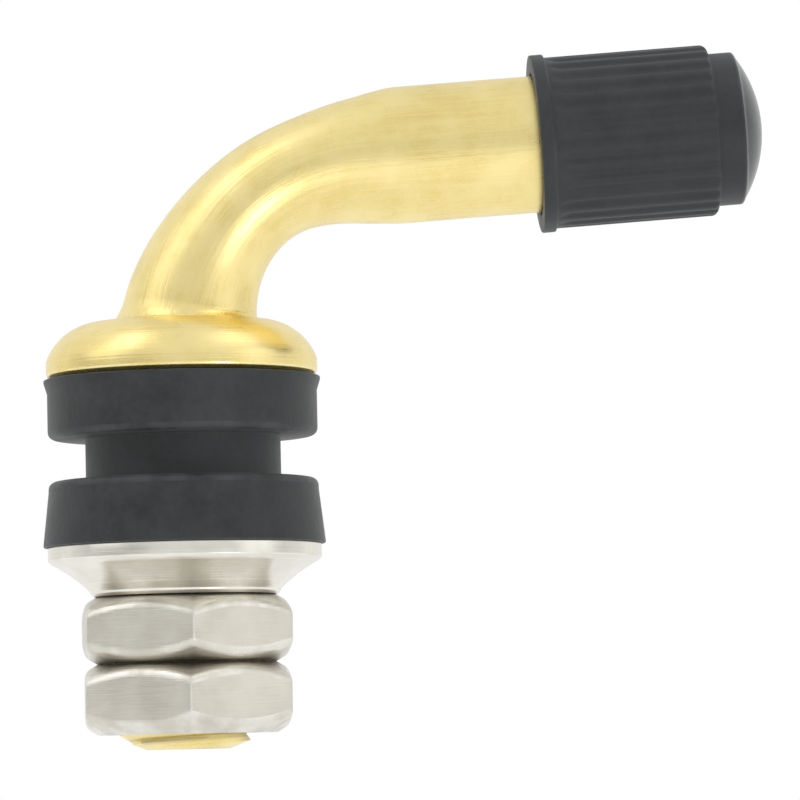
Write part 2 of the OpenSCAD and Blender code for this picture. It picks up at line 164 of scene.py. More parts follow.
# Cap
CAP_MOUTH = -10.25
CAP_MOUTH_R = 4.25
CAP_LIP_R, CAP_LIP_L = 5.275, 0.8
CAP_R = 5.075
RIB_START = CAP_MOUTH + 1.05
RIB_STEPS = 14
RIB_GROOVES = 30
RIB_CUTTER_R = 0.4
RIB_CUTTER_AT = 5.325
RIB_END_R = 4.8
CAP_EDGE = 0.08
SHOULDER_ROUND = 0.35
SHOULDER = 0.25
CROWN_R = 4.525
CROWN_ROUND = 0.2
CROWN_TOP = 1.85
# Height of the dome's centre, its radius and the angle where it starts
CAP_DOME = (-4.277, 7.5, 54.78)
CAP_ROOT_R = 3.925
CAP_CREST_R = 3.5
CAP_CREST = 0.2
CAP_THREAD_FOOT, CAP_THREAD_TOP = -8.775, 0.2
CAP_RUN_OUT = 0.575, 0.6
CAP_MOUTH_CONE = -9.1
CAP_RECESS_TOP = 1.9
SEAL_HOLE_R, SEAL_R, SEAL_T = 2.75, 3.875, 1.0

# Valve core
TANG_TOP, TANG_FOOT = -1.5, -3.5
TANG_R, TANG_HALF = 2.3, 1.45
TANG_EDGE = 0.06
SWIVEL_HOLE_R = 0.95
SWIVEL_END_R = 2.25
SWIVEL_ROOT_R, SWIVEL_R, SWIVEL_CREST = 2.34, 2.6, 0.09
SWIVEL_FOOT = -7.7
BEAD_HOLE_R, BEAD_HOLE_TOP = 1.82, -5.7
CRIMP_R, CRIMP_TOP = 1.62, -7.3
BEAD_R, BEAD_TOP, BEAD_FOOT = 1.72, -5.9, -7.1
NECK_R = 1.52
BARREL_COLLAR_R, BARREL_COLLAR_TOP = 2.2, -7.9
GASKET_TOP, GASKET_FOOT = -8.4, -10.4
GASKET_HOLE_R, GASKET_R, GASKET_END_R = 1.57, 2.35, 2.05
BARREL_R, BARREL_FOOT = 1.75, -15.25
NOZZLE_R, NOZZLE_FOOT = 1.3, -15.95
PIN_HOLE_R = 0.8
CHAMBER_R, CHAMBER_TOP, CHAMBER_FOOT = 1.2, -7.0, -14.7
PIN_R, PIN_TOP, PIN_FOOT = 0.55, -0.4, -17.37
PIN_HEAD_R, PIN_HEAD_FOOT = 0.85, -1.1
STOP_R, STOP_TOP, STOP_FOOT = 1.05, -7.6, -8.0
CUP_R, CUP_HOLE_R, CUP_INNER_R = 1.65, 0.6, 1.43
CUP_TOP, CUP_FLOOR, CUP_FOOT = -15.37, -16.85, -17.07
CUP_SEAL_R = 1.38
COIL_R, WIRE_R = 0.86, 0.13
COIL_TOP, COIL_FOOT = -8.18, -14.65
# Turns of each stretch of the coil, and how far it falls
COIL_TURNS = ((1, 0.28), (5, 5.78), (1, 0.28))

# The arm's own frame: its Z runs out along the arm, from the middle of the stem's mouth
ARM = (Matrix.Translation((0, 0, ARM_Z)) @ Matrix.Rotation(BEND, 4, "Y")
       @ Matrix.Translation((0, 0, ARM_L)))


# Shaping

def blank():
    """An empty mesh that can carry edge wear, painted shade and the direction of the tool marks."""
    bm = bmesh.new()
    bm.loops.layers.float.new("wear")
    bm.loops.layers.float.new("painted_shade")
    bm.verts.layers.float_vector.new("grain")
    return bm


def ring(r, z):
    """A level ring about Z."""
    return Matrix.Translation((0, 0, z)) @ Matrix.Diagonal((max(r, 1e-6), max(r, 1e-6), 1, 1))


def rings(*points):
    return [ring(r, z) for r, z in points]


def arc(x, z, r, start, end, steps):
    """Radius and height of points on a circle, for a rounded edge of a turned piece."""
    angles = [math.radians(start + (end - start) * k / steps) for k in range(steps + 1)]
    return [(x + r * math.cos(a), z + r * math.sin(a)) for a in angles]


def grow(bm, places, sides):
    """A skin that grows from ring to ring."""
    made = bmesh.ops.create_circle(bm, segments=sides, radius=1, matrix=places[0])["verts"]
    edges = list({e for v in made for e in v.link_edges})
    for here, there in zip(places, places[1:]):
        out = bmesh.ops.extrude_edge_only(bm, edges=edges)["geom"]
        verts = [g for g in out if isinstance(g, bmesh.types.BMVert)]
        edges = [g for g in out if isinstance(g, bmesh.types.BMEdge)]
        bmesh.ops.transform(bm, matrix=there @ here.inverted(), verts=verts)


def close_up(bm):
    """Join the rings that meet, and turn every face outwards."""
    bmesh.ops.remove_doubles(bm, verts=bm.verts, dist=1e-3)
    bmesh.ops.dissolve_degenerate(bm, dist=1e-4, edges=bm.edges)
    bmesh.ops.recalc_face_normals(bm, faces=bm.faces)


def soften(bm, width, segments=2, angle=22, where=None):
    """Round the sharp edges and mark them as rubbed."""
    wear = bm.loops.layers.float["wear"]
    sharp = [e for e in bm.edges if len(e.link_faces) == 2
             and e.calc_face_angle(0) > math.radians(angle) and (where is None or where(e))]
    done = bmesh.ops.bevel(bm, geom=sharp, offset=width, offset_type="OFFSET", segments=segments,
                           profile=0.5, affect="EDGES", material=-1, clamp_overlap=True)
    for face in done["faces"]:
        for loop in face.loops:
            loop[wear] = 1.0


def share(low, high, v):
    """How far a value has gone from low to high, from 0 to 1."""
    return min(1.0, max(0.0, (v - low) / (high - low)))


def run_out(from_r, to_r, start, end, at):
    """The radius of a thread's root or crest where it fades into its blank."""
    return from_r + (to_r - from_r) * share(start, end, at)


def threaded(bm, pitch, root, crest, flat, low, high, blank_r, phase=0.0, place=None, sides=SIDES):
    """A right-hand screw surface between two heights. blank_r trims it to its blank: bevels and run-outs."""
    flank = abs(crest - root) * math.tan(math.radians(30))
    tooth = ((root, -flat / 2 - flank), (crest, -flat / 2), (crest, flat / 2), (root, flat / 2 + flank))
    work = bmesh.new()
    first = phase + pitch * math.floor((low - phase) / pitch - 2)
    line = []
    for k in range(int((high - low) / pitch) + 6):
        for r, z in tooth:
            line.append(work.verts.new((r, 0, first + k * pitch + z)))
    edges = [work.edges.new(pair) for pair in zip(line, line[1:])]
    bmesh.ops.spin(work, geom=line + edges, cent=(0, 0, 0), axis=(0, 0, 1), dvec=(0, 0, pitch / sides),
                   angle=2 * math.pi, steps=sides, use_merge=False)
    bmesh.ops.remove_doubles(work, verts=work.verts, dist=1e-4)
    for v in work.verts:
        r = math.hypot(v.co.x, v.co.y)
        z = min(high, max(low, v.co.z))
        fit = blank_r(r, z) / r
        v.co = (v.co.x * fit, v.co.y * fit, z)
    bmesh.ops.remove_doubles(work, verts=work.verts, dist=1e-4)
    bmesh.ops.transform(work, matrix=place or Matrix.Identity(4), verts=work.verts)
    mesh = bpy.data.meshes.new("thread")
    work.to_mesh(mesh)
    work.free()
    bm.from_mesh(mesh)
    bpy.data.meshes.remove(mesh)


def turned_marks(v):
    """Tool marks that run round Z."""
    return math.hypot(v.co.x, v.co.y), v.co.z, 0.0


def piece(bm, name, node, body, material, marks=turned_marks, place=None):
    """Finish a mesh as the piece that stands for a solid and moves with its body."""
    grain = bm.verts.layers.float_vector["grain"]
    for v in bm.verts:
        v[grain] = marks(v)
    bmesh.ops.transform(bm, matrix=Matrix.Scale(MM, 4) @ (place or Matrix.Identity(4)), verts=bm.verts)
    for face in bm.faces:
        face.smooth = True
    mesh = bpy.data.meshes.new(name)
    bm.to_mesh(mesh)
    bm.free()
    mesh.set_sharp_from_angle(angle=math.radians(38))
    mesh.materials.append(material)
    obj = bpy.data.objects.new(name, mesh)
    bpy.context.scene.collection.objects.link(obj)
    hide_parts(node)
    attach(obj, body)
    return obj


# Node trees

def put(tree, kind, inputs=None, **settings):
    """Add a node, set its properties, and set or link its inputs."""
    node = tree.nodes.new(kind)
    for name, value in settings.items():
        setattr(node, name, value)
    for name, value in (inputs or {}).items():
        if isinstance(value, bpy.types.NodeSocket):
            tree.links.new(value, node.inputs[name])
        else:
            node.inputs[name].default_value = value
    return node


def span(tree, value, low, high, start=0.0, end=1.0, curve="LINEAR"):
    """Stretch a value from start..end to low..high."""
    inputs = {"Value": value, "From Min": start, "From Max": end, "To Min": low, "To Max": high}
    return put(tree, "ShaderNodeMapRange", inputs, interpolation_type=curve).outputs["Result"]


def combine(tree, operation, first, second):
    """Add, multiply or compare two values."""
    return put(tree, "ShaderNodeMath", {0: first, 1: second}, operation=operation).outputs[0]


def tint(tree, share_of, dark, light):
    """Blend from one colour to another."""
    ends = [(*colour, 1) if isinstance(colour, tuple) else colour for colour in (dark, light)]
    return put(tree, "ShaderNodeMix", {0: share_of, 6: ends[0], 7: ends[1]}, data_type="RGBA").outputs[2]


def noise(tree, at, size, detail, roughness=0.5):
    inputs = {"Vector": at, "Scale": size, "Detail": detail, "Roughness": roughness}
    return put(tree, "ShaderNodeTexNoise", inputs).outputs["Fac"]


def effect(name, output, vectors, values):
    """A shader node group with one output, and its vector and value inputs."""
    tree = bpy.data.node_groups.new(name, "ShaderNodeTree")
    for socket in vectors:
        tree.interface.new_socket(socket, in_out="INPUT", socket_type="NodeSocketVector")
    for socket in values:
        tree.interface.new_socket(socket, in_out="INPUT", socket_type="NodeSocketFloat")
    tree.interface.new_socket(output, in_out="OUTPUT", socket_type="NodeSocketFloat")
    return tree, put(tree, "NodeGroupInput").outputs, put(tree, "NodeGroupOutput").inputs[output]


def tool_marks():
    """Fine lines left by drawing or turning: long one way and narrow across."""
    tree, given, out = effect("tool_marks", "Lines", ["Grain"], ["Across", "Along"])
    size = put(tree, "ShaderNodeCombineXYZ",
               {"X": given["Across"], "Y": given["Across"], "Z": given["Along"]})
    at = put(tree, "ShaderNodeVectorMath", {0: given["Grain"], 1: size.outputs[0]}, operation="MULTIPLY")
    lines = noise(tree, at.outputs[0], 1.0, 4.0, roughness=0.62)
    tree.links.new(span(tree, lines, 0.0, 1.0, start=0.32, end=0.68), out)
    return tree


def cloud():
    """Soft uneven patches."""
    tree, given, out = effect("cloud", "Patches", ["Position"], ["Size"])
    patches = noise(tree, given["Position"], given["Size"], 3.0, roughness=0.55)
    tree.links.new(span(tree, patches, 0.0, 1.0, start=0.35, end=0.65), out)
    return tree


def rubbed_edge():
    """Broken wear along the rounded edges."""
    tree, given, out = effect("rubbed_edge", "Rub", ["Position"], ["Wear", "Size"])
    patches = noise(tree, given["Position"], given["Size"], 3.0)
    broken = span(tree, patches, 0.0, 1.0, start=0.4, end=0.6)
    tree.links.new(combine(tree, "MULTIPLY", given["Wear"], broken), out)
    return tree


def moulded_skin():
    """The fine pebbling of a moulded surface."""
    tree, given, out = effect("moulded_skin", "Height", ["Position"], ["Size"])
    pebbles = put(tree, "ShaderNodeTexVoronoi", {"Vector": given["Position"], "Scale": given["Size"]},
                  feature="SMOOTH_F1")
    rough = noise(tree, given["Position"], given["Size"], 4.0)
    tree.links.new(combine(tree, "ADD", pebbles.outputs["Distance"], rough), out)
    return tree


MARKS, CLOUD, RUB, SKIN = tool_marks(), cloud(), rubbed_edge(), moulded_skin()


def place_group(tree, group, **inputs):
    """Place a shared effect with this material's own values."""
    return put(tree, "ShaderNodeGroup", inputs, node_tree=group).outputs[0]


# Materials. Pattern sizes are in repeats for each metre

RUB_SIZE = 500.0
METAL_PATCHES = 420.0
MOULDING_PATCHES = 380.0
FINE_PATCHES = 2600.0
# Colour of the painted shade in crevices and thread grooves
PAINTED_SHADE_COLOUR = (0.11, 0.095, 0.07)
POLISHED = 0.2
POLISH_FADE = 0.2


def start_material(name):
    material = bpy.data.materials.new(name)
    material.use_nodes = True
    tree = material.node_tree
    position = put(tree, "ShaderNodeTexCoord").outputs["Object"]
    wear = put(tree, "ShaderNodeAttribute", attribute_name="wear").outputs["Fac"]
    grain = put(tree, "ShaderNodeAttribute", attribute_name="grain").outputs["Vector"]
    rub = place_group(tree, RUB, Wear=wear, Position=position, Size=RUB_SIZE)
    return material, tree, tree.nodes["Principled BSDF"], position, grain, rub


def metal(name, dark, light, bright, rough, across, along, depth):
    """Bare or plated metal with tool marks, uneven patches, polished edges and painted shade in crevices and
    grooves.
    """
    material, tree, shader, position, grain, rub = start_material(name)
    lines = place_group(tree, MARKS, Grain=grain, Across=across, Along=along)
    patches = place_group(tree, CLOUD, Position=position, Size=METAL_PATCHES)
    colour = tint(tree, span(tree, lines, 0.0, 0.6), tint(tree, patches, dark, light), light)
    colour = tint(tree, span(tree, rub, 0.0, 0.6), colour, bright)
    # Painted shade: the base colour goes dark where the mesh's shade layer is set
    painted_shade = put(tree, "ShaderNodeAttribute", attribute_name="painted_shade").outputs["Fac"]
    colour = tint(tree, span(tree, painted_shade, 0.0, 0.85, start=0.3), colour, PAINTED_SHADE_COLOUR)
    tree.links.new(colour, shader.inputs["Base Color"])
    shader.inputs["Metallic"].default_value = 1.0
    uneven = span(tree, combine(tree, "ADD", lines, patches), rough[0], (rough[0] + rough[1]) / 2)
    polish = span(tree, rub, 0.0, rough[0] * 0.3)
    tree.links.new(combine(tree, "SUBTRACT", uneven, polish), shader.inputs["Roughness"])
    bump = put(tree, "ShaderNodeBump", {"Strength": 0.5, "Distance": depth, "Height": lines})
    tree.links.new(bump.outputs[0], shader.inputs["Normal"])
    return material


def moulding(name, dark, light, scuffed, rough, pebble, depth, specular, dust, polished_from=None):
    """Moulded rubber or plastic with a pebbled skin, uneven patches and paler rubbed edges.

    From polished_from on along the piece's axis, the mould was polished."""
    material, tree, shader, position, grain, rub = start_material(name)
    patches = place_group(tree, CLOUD, Position=position, Size=MOULDING_PATCHES)
    fine = place_group(tree, CLOUD, Position=position, Size=FINE_PATCHES)
    skin = place_group(tree, SKIN, Position=position, Size=pebble)
    mottled = combine(tree, "ADD", span(tree, patches, 0.0, 0.7), span(tree, fine, 0.0, 0.3))
    colour = tint(tree, mottled, dark, light)
    tree.links.new(tint(tree, span(tree, rub, 0.0, 0.35), colour, scuffed), shader.inputs["Base Color"])
    dull = span(tree, mottled, rough[0], rough[1])
    if polished_from is not None:
        height = put(tree, "ShaderNodeSeparateXYZ", {"Vector": grain}).outputs["Y"]
        dull = span(tree, height, dull, POLISHED, start=polished_from, end=polished_from + POLISH_FADE)
    tree.links.new(dull, shader.inputs["Roughness"])
    shader.inputs["Specular IOR Level"].default_value = specular
    shader.inputs["Sheen Weight"].default_value = dust
    shader.inputs["Sheen Roughness"].default_value = 0.4
    bump = put(tree, "ShaderNodeBump", {"Strength": 0.4, "Distance": depth, "Height": skin})
    tree.links.new(bump.outputs[0], shader.inputs["Normal"])
    return material


stem_brass = metal("stem_brass", dark=(0.84, 0.67, 0.25), light=(0.95, 0.80, 0.37),
                   bright=(0.98, 0.88, 0.50), rough=(0.22, 0.36), across=5.0, along=0.16, depth=0.00002)
core_brass = metal("core_brass", dark=(0.72, 0.53, 0.20), light=(0.84, 0.66, 0.30),
                   bright=(0.95, 0.82, 0.46), rough=(0.22, 0.36), across=12.0, along=0.4, depth=0.00001)
nickel_plate = metal("nickel_plate", dark=(0.57, 0.545, 0.475), light=(0.68, 0.655, 0.58),
                     bright=(0.88, 0.86, 0.80), rough=(0.28, 0.42), across=9.0, along=0.35, depth=0.000015)
washer_plate = metal("washer_plate", dark=(0.72, 0.695, 0.62), light=(0.85, 0.825, 0.75),
                     bright=(0.93, 0.91, 0.86), rough=(0.15, 0.26), across=9.0, along=0.35, depth=0.000010)
spring_steel = metal("spring_steel", dark=(0.40, 0.40, 0.41), light=(0.58, 0.58, 0.59),
                     bright=(0.8, 0.8, 0.8), rough=(0.2, 0.32), across=8.0, along=0.5, depth=0.000005)
grommet_rubber = moulding("grommet_rubber", dark=(0.0045, 0.006, 0.0068), light=(0.0235, 0.0275, 0.029),
                          scuffed=(0.06, 0.066, 0.07), rough=(0.46, 0.62), pebble=2600.0, depth=0.00003,
                          specular=0.5, dust=0.10)
seal_rubber = moulding("seal_rubber", dark=(0.008, 0.009, 0.010), light=(0.018, 0.019, 0.020),
                       scuffed=(0.04, 0.04, 0.045), rough=(0.5, 0.65), pebble=3600.0, depth=0.00002,
                       specular=0.4, dust=0.05)
cap_plastic = moulding("cap_plastic", dark=(0.015, 0.017, 0.019), light=(0.028, 0.031, 0.034),
                       scuffed=(0.07, 0.075, 0.085), rough=(0.42, 0.58), pebble=3200.0, depth=0.00002,
                       specular=0.45, dust=0.03, polished_from=1.6)
gasket_polymer = moulding("gasket_polymer", dark=(0.66, 0.65, 0.60), light=(0.80, 0.79, 0.75),
                          scuffed=(0.88, 0.87, 0.84), rough=(0.35, 0.5), pebble=4200.0, depth=0.00001,
                          specular=0.45, dust=0.0)


# Stem

def squeeze(a):
    """How much of the pinch the tube has at an angle along the bend."""
    along = share(PINCH_START, SWEEP, a)
    return (1 - (2 * along - 1) ** 2) ** 1.5


def tube_ring(a):
    """The tube's ring at an angle along the bend, and past it on the arm. The first ring lies level."""
    turn = min(a, BEND)
    past = max(0.0, a - BEND) * BEND_R
    height = BEND_Z + BEND_R * math.sin(turn)
    root = (1 - share(0, ROOT_H, height - FLANGE_TOP)) ** 2 * ROOT_FLARE
    inward = TUBE_R - PINCH / 2 * squeeze(a) + root
    sideways = TUBE_R + BULGE / 2 * squeeze(a) + root
    reach = BEND_R - EASE * math.sin(2 * math.pi * max(0.5, share(PINCH_START, SWEEP, a))) ** 2
    middle = Vector((BEND_X - reach * math.cos(turn) + past * math.cos(RISE), 0,
                     BEND_Z + reach * math.sin(turn) + past * math.sin(RISE)))
    lean = min(turn, (height - FLANGE_TOP) / LEAN_H * LEAN)
    across = Vector((math.cos(lean), 0, -math.sin(lean))) * inward
    side = Vector((0, sideways, 0))
    onward = Vector((math.sin(lean), 0, math.cos(lean)))
    return Matrix(((across.x, side.x, onward.x, middle.x), (across.y, side.y, onward.y, middle.y),
                   (across.z, side.z, onward.z, middle.z), (0, 0, 0, 1)))


def on_arm(*points):
    return [ARM @ ring(r, w) for r, w in points]


def bore_ring(a, r):
    middle = Vector((BEND_X - BEND_R * math.cos(a), 0, BEND_Z + BEND_R * math.sin(a)))
    return Matrix.Translation(middle) @ Matrix.Rotation(a, 4, "Y") @ Matrix.Diagonal((r, r, 1, 1))


def stem_marks(v):
    """Draw lines that follow the tube, and turned lines on the flange, the shank and the mouth."""
    local = ARM.inverted() @ v.co
    if local.z > MOUTH_MARKS:
        return math.hypot(local.x, local.y), local.z, 0.0
    if v.co.z < FLANGE_TOP + 0.02:
        return turned_marks(v)
    turn = math.atan2(v.co.z - BEND_Z, BEND_X - v.co.x)
    if local.z > BEND_R * math.tan(BEND / 2) + FOOT_X - ARM_L:
        return local.x, v.co.y, BEND_R * BEND + local.z + ARM_L - ARM_GRAIN_FROM
    return BEND_R - math.hypot(v.co.x - BEND_X, v.co.z - BEND_Z), v.co.y, BEND_R * turn


def shank_bevel_r(z):
    """The radius that the bevel at the shank's end leaves at a height."""
    return SHANK_FACE_R + (z - SHANK_END) / SHANK_BEVEL_H * (SHANK_R - SHANK_FACE_R)


def shank_blank_r(r, z):
    root = run_out(SHANK_ROOT_R, SHANK_R, SHANK_THREAD_TOP - SHANK_RUN_OUT, SHANK_THREAD_TOP, z)
    return min(max(r, root), shank_bevel_r(z))


def mouth_blank_r(r, w):
    root = run_out(MOUTH_ROOT_R, MOUTH_R, MOUTH_THREAD_FOOT + MOUTH_RUN_OUT, MOUTH_THREAD_FOOT, w)
    return min(max(r, root), MOUTH_FACE_R - w)


def core_hole_blank_r(r, w):
    crest = run_out(CORE_HOLE_CREST_R, CORE_HOLE_R, CORE_HOLE_FOOT + CORE_HOLE_RUN_OUT, CORE_HOLE_FOOT, w)
    return max(r, MOUTH_HOLE_R + w, crest)


def shade_shank_grooves(bm):
    """Painted shade in the grooves of the shank's thread, darker towards the root, and none on its bevel."""
    painted_shade = bm.loops.layers.float["painted_shade"]
    for v in bm.verts:
        r = v.co.xy.length
        if v.co.z < SHANK_THREAD_TOP and BORE_R + 1 < r < shank_bevel_r(v.co.z) - 0.05:
            for loop in v.link_loops:
                loop[painted_shade] = GROOVE_SHADE * (1 - share(SHANK_ROOT_R, SHANK_R - 0.1, r))


def off_the_bend(e):
    """Edges of the flange and of the mouth."""
    return max(v.co.z for v in e.verts) < FLANGE_TOP - 0.1 or e.verts[0].co.x > BEND_CLEAR_X


def make_stem():
    bm = blank()
    first = math.asin((FLANGE_TOP - BEND_Z) / BEND_R)
    skin = rings((SHANK_R, SHANK_THREAD_TOP), (SHANK_R, FLANGE_FOOT),
                 (FLANGE_R - FLANGE_BEVEL, FLANGE_FOOT), (FLANGE_R, FLANGE_FOOT + FLANGE_BEVEL),
                 *arc(*FLANGE_ARC, 14))
    skin += [tube_ring(first + (LEAN - first) * k / 10) for k in range(11)]
    skin += [tube_ring(LEAN + (SWEEP - LEAN) * k / 56) for k in range(1, 57)]
    skin += on_arm(*[(TUBE_R, w) for w in ARM_RINGS])
    skin += on_arm((MOUTH_R, MOUTH_SHOULDER), (MOUTH_R, MOUTH_THREAD_FOOT))
    grow(bm, skin, SIDES)
    close_up(bm)
    soften(bm, STEM_EDGE, 3, where=off_the_bend)
    threaded(bm, CAP_PITCH, MOUTH_ROOT_R, MOUTH_R, MOUTH_CREST, MOUTH_THREAD_FOOT, 0, mouth_blank_r,
             place=ARM)
    grow(bm, on_arm((MOUTH_FACE_R, 0), (MOUTH_HOLE_R, 0)), SIDES)
    threaded(bm, CORE_PITCH, CORE_HOLE_R, CORE_HOLE_CREST_R, CORE_HOLE_CREST, CORE_HOLE_FOOT, 0,
             core_hole_blank_r, phase=CORE_PITCH / 2, place=ARM)
    passage = on_arm((CORE_HOLE_R, CORE_HOLE_FOOT), (SEAT_R, GASKET_TOP), (SEAT_END_R, GASKET_FOOT),
                     (BORE_R, BORE_TOP), (BORE_R, ARM_BORE_FOOT))
    passage += [bore_ring(BEND * (1 - k / 24), BEND_BORE_R) for k in range(25)]
    passage += rings((BORE_R, BEND_Z - 0.4), (BORE_R, SHANK_END + BORE_LIP), (BORE_R + BORE_LIP, SHANK_END),
                     (SHANK_FACE_R, SHANK_END))
    grow(bm, passage, SIDES)
    threaded(bm, SHANK_PITCH, SHANK_ROOT_R, SHANK_R, SHANK_CREST, SHANK_END, SHANK_THREAD_TOP,
             shank_blank_r, phase=SHANK_PHASE)
    close_up(bm)
    shade_shank_grooves(bm)
    return piece(bm, "stem", "valve_stem", "stem", stem_brass, stem_marks)


# Grommet, washer and nuts

def collar_edge(e):
    """The collars' outer edges on the rim groove."""
    return all(abs(abs(v.co.z) - GROOVE_HALF) < 0.01 and v.co.xy.length > GROOVE_R + 1 for v in e.verts)


def make_grommet():
    bm = blank()
    upper_collar = [(GROMMET_HOLE_R, FLANGE_FOOT), (UPPER_LIP_R, FLANGE_FOOT),
                    (UPPER_LIP_R, FLANGE_FOOT - LIP_EDGE), (COLLAR_R, FLANGE_FOOT - UPPER_LIP_H)]
    groove = [(COLLAR_R, GROOVE_HALF), (GROOVE_R, GROOVE_HALF),
              (GROOVE_R, -GROOVE_HALF), (COLLAR_R, -GROOVE_HALF)]
    lower_collar = [(COLLAR_R, GROMMET_FOOT + LOWER_LIP_H), (LOWER_LIP_R, GROMMET_FOOT + LIP_EDGE),
                    (LOWER_LIP_R, GROMMET_FOOT), (GROMMET_HOLE_R, GROMMET_FOOT)]
    grow(bm, rings(*upper_collar, *groove, *lower_collar, upper_collar[0]), SIDES)
    close_up(bm)
    soften(bm, COLLAR_ROUND, 5, where=collar_edge)
    soften(bm, RUBBER_EDGE, 2, angle=40)
    return piece(bm, "rim_grommet", "grommet", "stem", grommet_rubber)


def make_washer():
    bm = blank()
    grow(bm, rings((WASHER_HOLE_R, GROMMET_FOOT), (WASHER_R, GROMMET_FOOT),
                   (WASHER_R, GROMMET_FOOT - WASHER_RIM_H), *arc(*WASHER_ARC, 10),
                   (WASHER_HUB_R, WASHER_FOOT + WASHER_BEVEL), (WASHER_HUB_R - WASHER_BEVEL, WASHER_FOOT),
                   (WASHER_HOLE_R, WASHER_FOOT), (WASHER_HOLE_R, GROMMET_FOOT)), SIDES)
    close_up(bm)
    soften(bm, PLATE_EDGE, 3)
    return piece(bm, "cone_washer", "washer", "washer", washer_plate)


def nut_marks(v):
    """Level lines on each flat, and turned lines on the end faces."""
    r = math.hypot(v.co.x, v.co.y)
    if r < NUT_FACE_R + 0.05:
        return r, v.co.z, 0.0
    side = math.floor(math.atan2(v.co.y, v.co.x) / SIXTH)
    middle = (side + 0.5) * SIXTH
    return v.co.z, side * FLAT_SHIFT, v.co.y * math.cos(middle) - v.co.x * math.sin(middle)


def shape_hexagon(bm, foot, top, corner, rim, step):
    """Bring the outer rings to the six flats and to the rounded edges of the end chamfers."""
    shaped = set()
    for v in bm.verts:
        if v.co.xy.length < (NUT_FACE_R + corner) / 2:
            continue
        end, inward = (foot, 1) if v.co.z < (foot + top) / 2 else (top, -1)
        nth = round((abs(v.co.z - end) - rim) / step)
        lean = 2 * NUT_CHAMFER * (nth / NUT_ROUND_STEPS - 1)
        flat_r = NUT_ACROSS / 2 / math.cos(math.atan2(v.co.y, v.co.x) % SIXTH - SIXTH / 2)
        r = flat_r - NUT_ROUND + NUT_ROUND * math.cos(lean)
        drop = (flat_r - NUT_FACE_R + NUT_ROUND) * math.tan(NUT_CHAMFER) + NUT_ROUND * math.sin(lean)
        v.co = (v.co.x * r / corner, v.co.y * r / corner, end + inward * drop)
        shaped.add(v)
    return shaped


def wear_hexagon(bm, shaped, shaded_ends):
    """Rub the rounded edges and the chamfers, and put painted shade instead of rub on the chamfers that meet
    another piece.
    """
    wear = bm.loops.layers.float["wear"]
    painted_shade = bm.loops.layers.float["painted_shade"]
    for face in bm.faces:
        heights = [v.co.z for v in face.verts]
        if shaped.issuperset(face.verts):
            on_edge = max(heights) - min(heights) < 0.5
            for loop in face.loops:
                loop[wear] = 1.0 if on_edge else 0.0
        elif not shaped.isdisjoint(face.verts):
            # Chamfers that meet another piece get painted shade, darkest at the end face, in place of rub
            shaded = any(abs(z - end) < 0.01 for z in heights for end in shaded_ends)
            for loop in face.loops:
                loop[painted_shade] = 1.0 if shaded and loop.vert not in shaped else 0.0
                loop[wear] = 0.0 if shaded else 1.0


def make_nut(name, node, body, foot, top, turn, shaded_ends):
    """A chamfered hexagon with soft edges and a real thread, built with a corner on X and then turned."""
    corner = NUT_ACROSS / math.sqrt(3)
    # The rings of each rounded edge start as a close stack, which numbers them
    rim, step = 0.8, 0.01
    swing = math.radians(turn - 90)
    bm = blank()
    lower = [(corner, foot + rim + step * k) for k in range(NUT_ROUND_STEPS + 1)]
    upper = [(corner, top - rim - step * k) for k in range(NUT_ROUND_STEPS, -1, -1)]
    grow(bm, rings((NUT_HOLE_R, foot), (NUT_FACE_R, foot), *lower,
                   *upper, (NUT_FACE_R, top), (NUT_HOLE_R, top)), SIDES)
    shaped = shape_hexagon(bm, foot, top, corner, rim, step)
    wear_hexagon(bm, shaped, shaded_ends)
    close_up(bm)
    soften(bm, PLATE_EDGE, 3)
    threaded(bm, SHANK_PITCH, NUT_ROOT_R, NUT_CREST_R, NUT_CREST, foot, top,
             lambda r, z: max(r, NUT_HOLE_R - (z - foot), NUT_HOLE_R - (top - z)),
             phase=SHANK_PHASE + SHANK_PITCH * (0.5 + swing / (2 * math.pi)))
    close_up(bm)
    return piece(bm, name, node, body, nickel_plate, nut_marks,
                 place=Matrix.Rotation(swing, 4, "Z"))


# Cap and its seal

def cut_ribs(bm):
    """Round grooves between the cap's ribs, out through the shoulder."""
    pitch = 360 / RIB_GROOVES
    for v in bm.verts:
        r = v.co.xy.length
        if r > RIB_END_R and v.co.z > RIB_START + 0.01:
            off = math.radians((math.degrees(math.atan2(v.co.y, v.co.x)) + pitch / 2) % pitch - pitch / 2)
            reach = RIB_CUTTER_R ** 2 - (RIB_CUTTER_AT * math.sin(off)) ** 2
            if reach > 0:
                v.co.xy *= min(1, (RIB_CUTTER_AT * math.cos(off) - math.sqrt(reach)) / r)


def cap_blank_r(r, w):
    low = run_out(CAP_CREST_R, CAP_ROOT_R, CAP_THREAD_FOOT + CAP_RUN_OUT[0], CAP_THREAD_FOOT, w)
    high = run_out(CAP_CREST_R, CAP_ROOT_R, CAP_THREAD_TOP - CAP_RUN_OUT[1], CAP_THREAD_TOP, w)
    return max(r, low, high)


